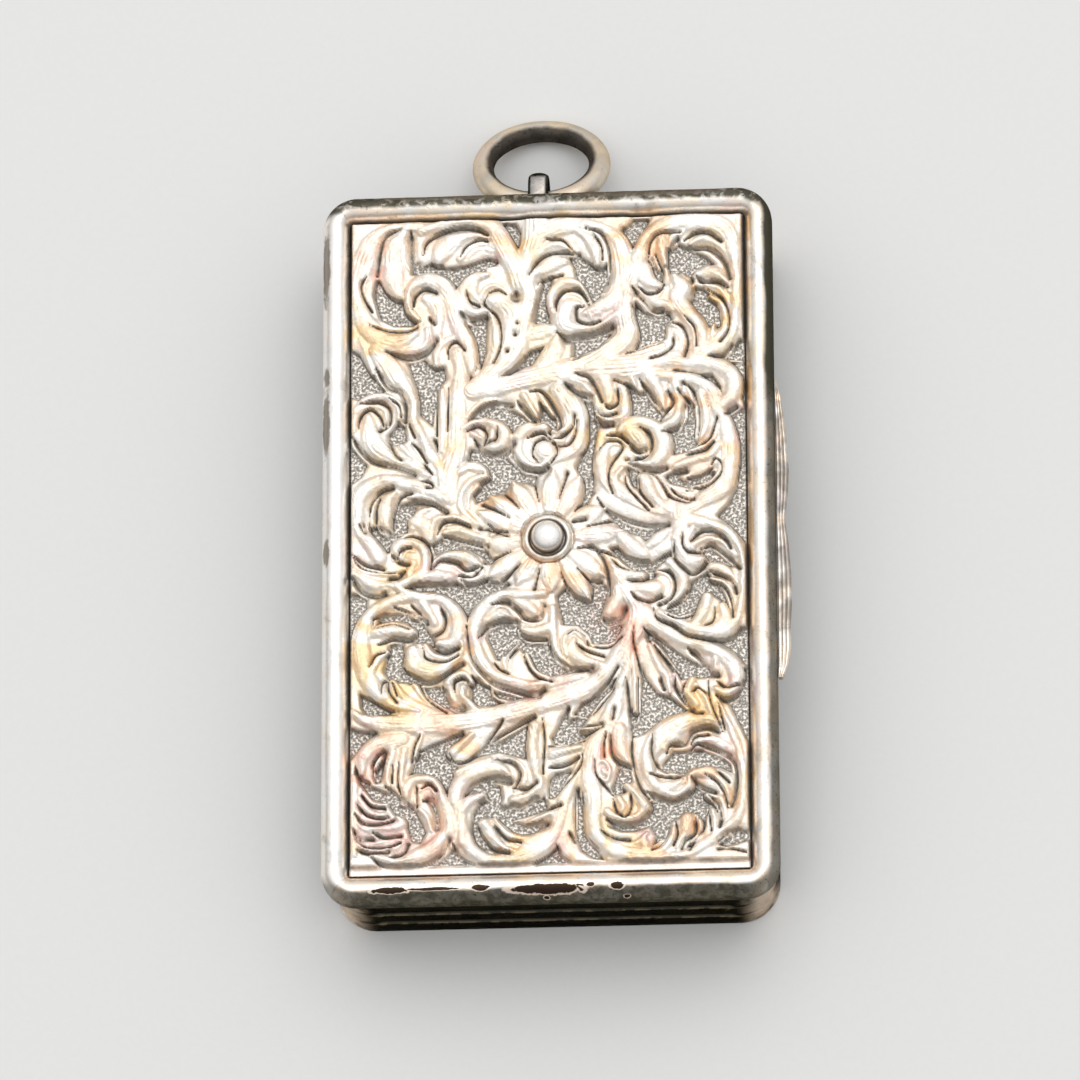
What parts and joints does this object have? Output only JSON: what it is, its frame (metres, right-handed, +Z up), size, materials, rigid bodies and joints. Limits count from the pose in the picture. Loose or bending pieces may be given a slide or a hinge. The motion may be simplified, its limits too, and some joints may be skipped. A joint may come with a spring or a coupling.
{
  "type": "vinaigrette box",
  "caption": "Small rectangular silver box with a hinged relief lid, an inner pierced grille over a sponge, a reeded case and a hanging ring.",
  "frame": {"origin": "centre of the case's underside, on the surface it lies on", "axes": "+Z up through the lid, +Y along the length towards the hanging ring, +X across towards the thumbpiece; the lid's hinge is on the -X side"},
  "size_m": [0.0266, 0.0488, 0.0088],
  "materials": {
    "worn_silver": "worn, warm toned",
    "tarnished_silver": "dark, tarnished",
    "gilt": "satin gilt",
    "sponge": "porous"
  },
  "bodies": {
    "case": {"case_floor": "tarnished_silver", "case_wall": "tarnished_silver", "inner_flange": "gilt", "grille_ledge": "gilt", "sponge": "sponge", "case_knuckle_1": "tarnished_silver", "case_knuckle_3": "tarnished_silver", "case_knuckle_5": "tarnished_silver", "hinge_pin": "tarnished_silver", "grille_end_knuckle_front": "gilt", "grille_end_knuckle_back": "gilt", "grille_pin": "gilt", "ring_lug": "tarnished_silver"},
    "lid": {"lid_plate": "gilt", "lid_rim_back": "worn_silver", "lid_rim_left": "worn_silver", "lid_rim_front": "worn_silver", "lid_rim_right": "worn_silver", "lid_panel": "worn_silver", "flower_stud": "worn_silver", "flower_collar": "worn_silver", "thumbpiece": "worn_silver", "lid_knuckle_2": "worn_silver", "lid_knuckle_4": "worn_silver"},
    "grille_leaf": {"grille": "gilt", "grille_knuckle": "gilt"},
    "ring": {"suspension_ring": "worn_silver"}
  },
  "joints": [
    {"name": "lid_hinge", "type": "hinge", "parent": "case", "child": "lid", "pos_m": [-0.01242, 0, 0.00592], "axis": [0, -1, 0], "range_deg": [0, 100]},
    {"name": "grille_hinge", "type": "hinge", "parent": "case", "child": "grille_leaf", "pos_m": [-0.01108, 0, 0.00596], "axis": [0, -1, 0], "range_deg": [0, 82]},
    {"name": "ring_swing", "type": "hinge", "parent": "case", "child": "ring", "pos_m": [-0.00065, 0.02148, 0.0043], "axis": [1, 0, 0], "range_deg": [-55, 108]}
  ],
  "couplings": [
    {"joint": "grille_hinge", "follows": "lid_hinge", "ratio": 0.8}
  ]
}
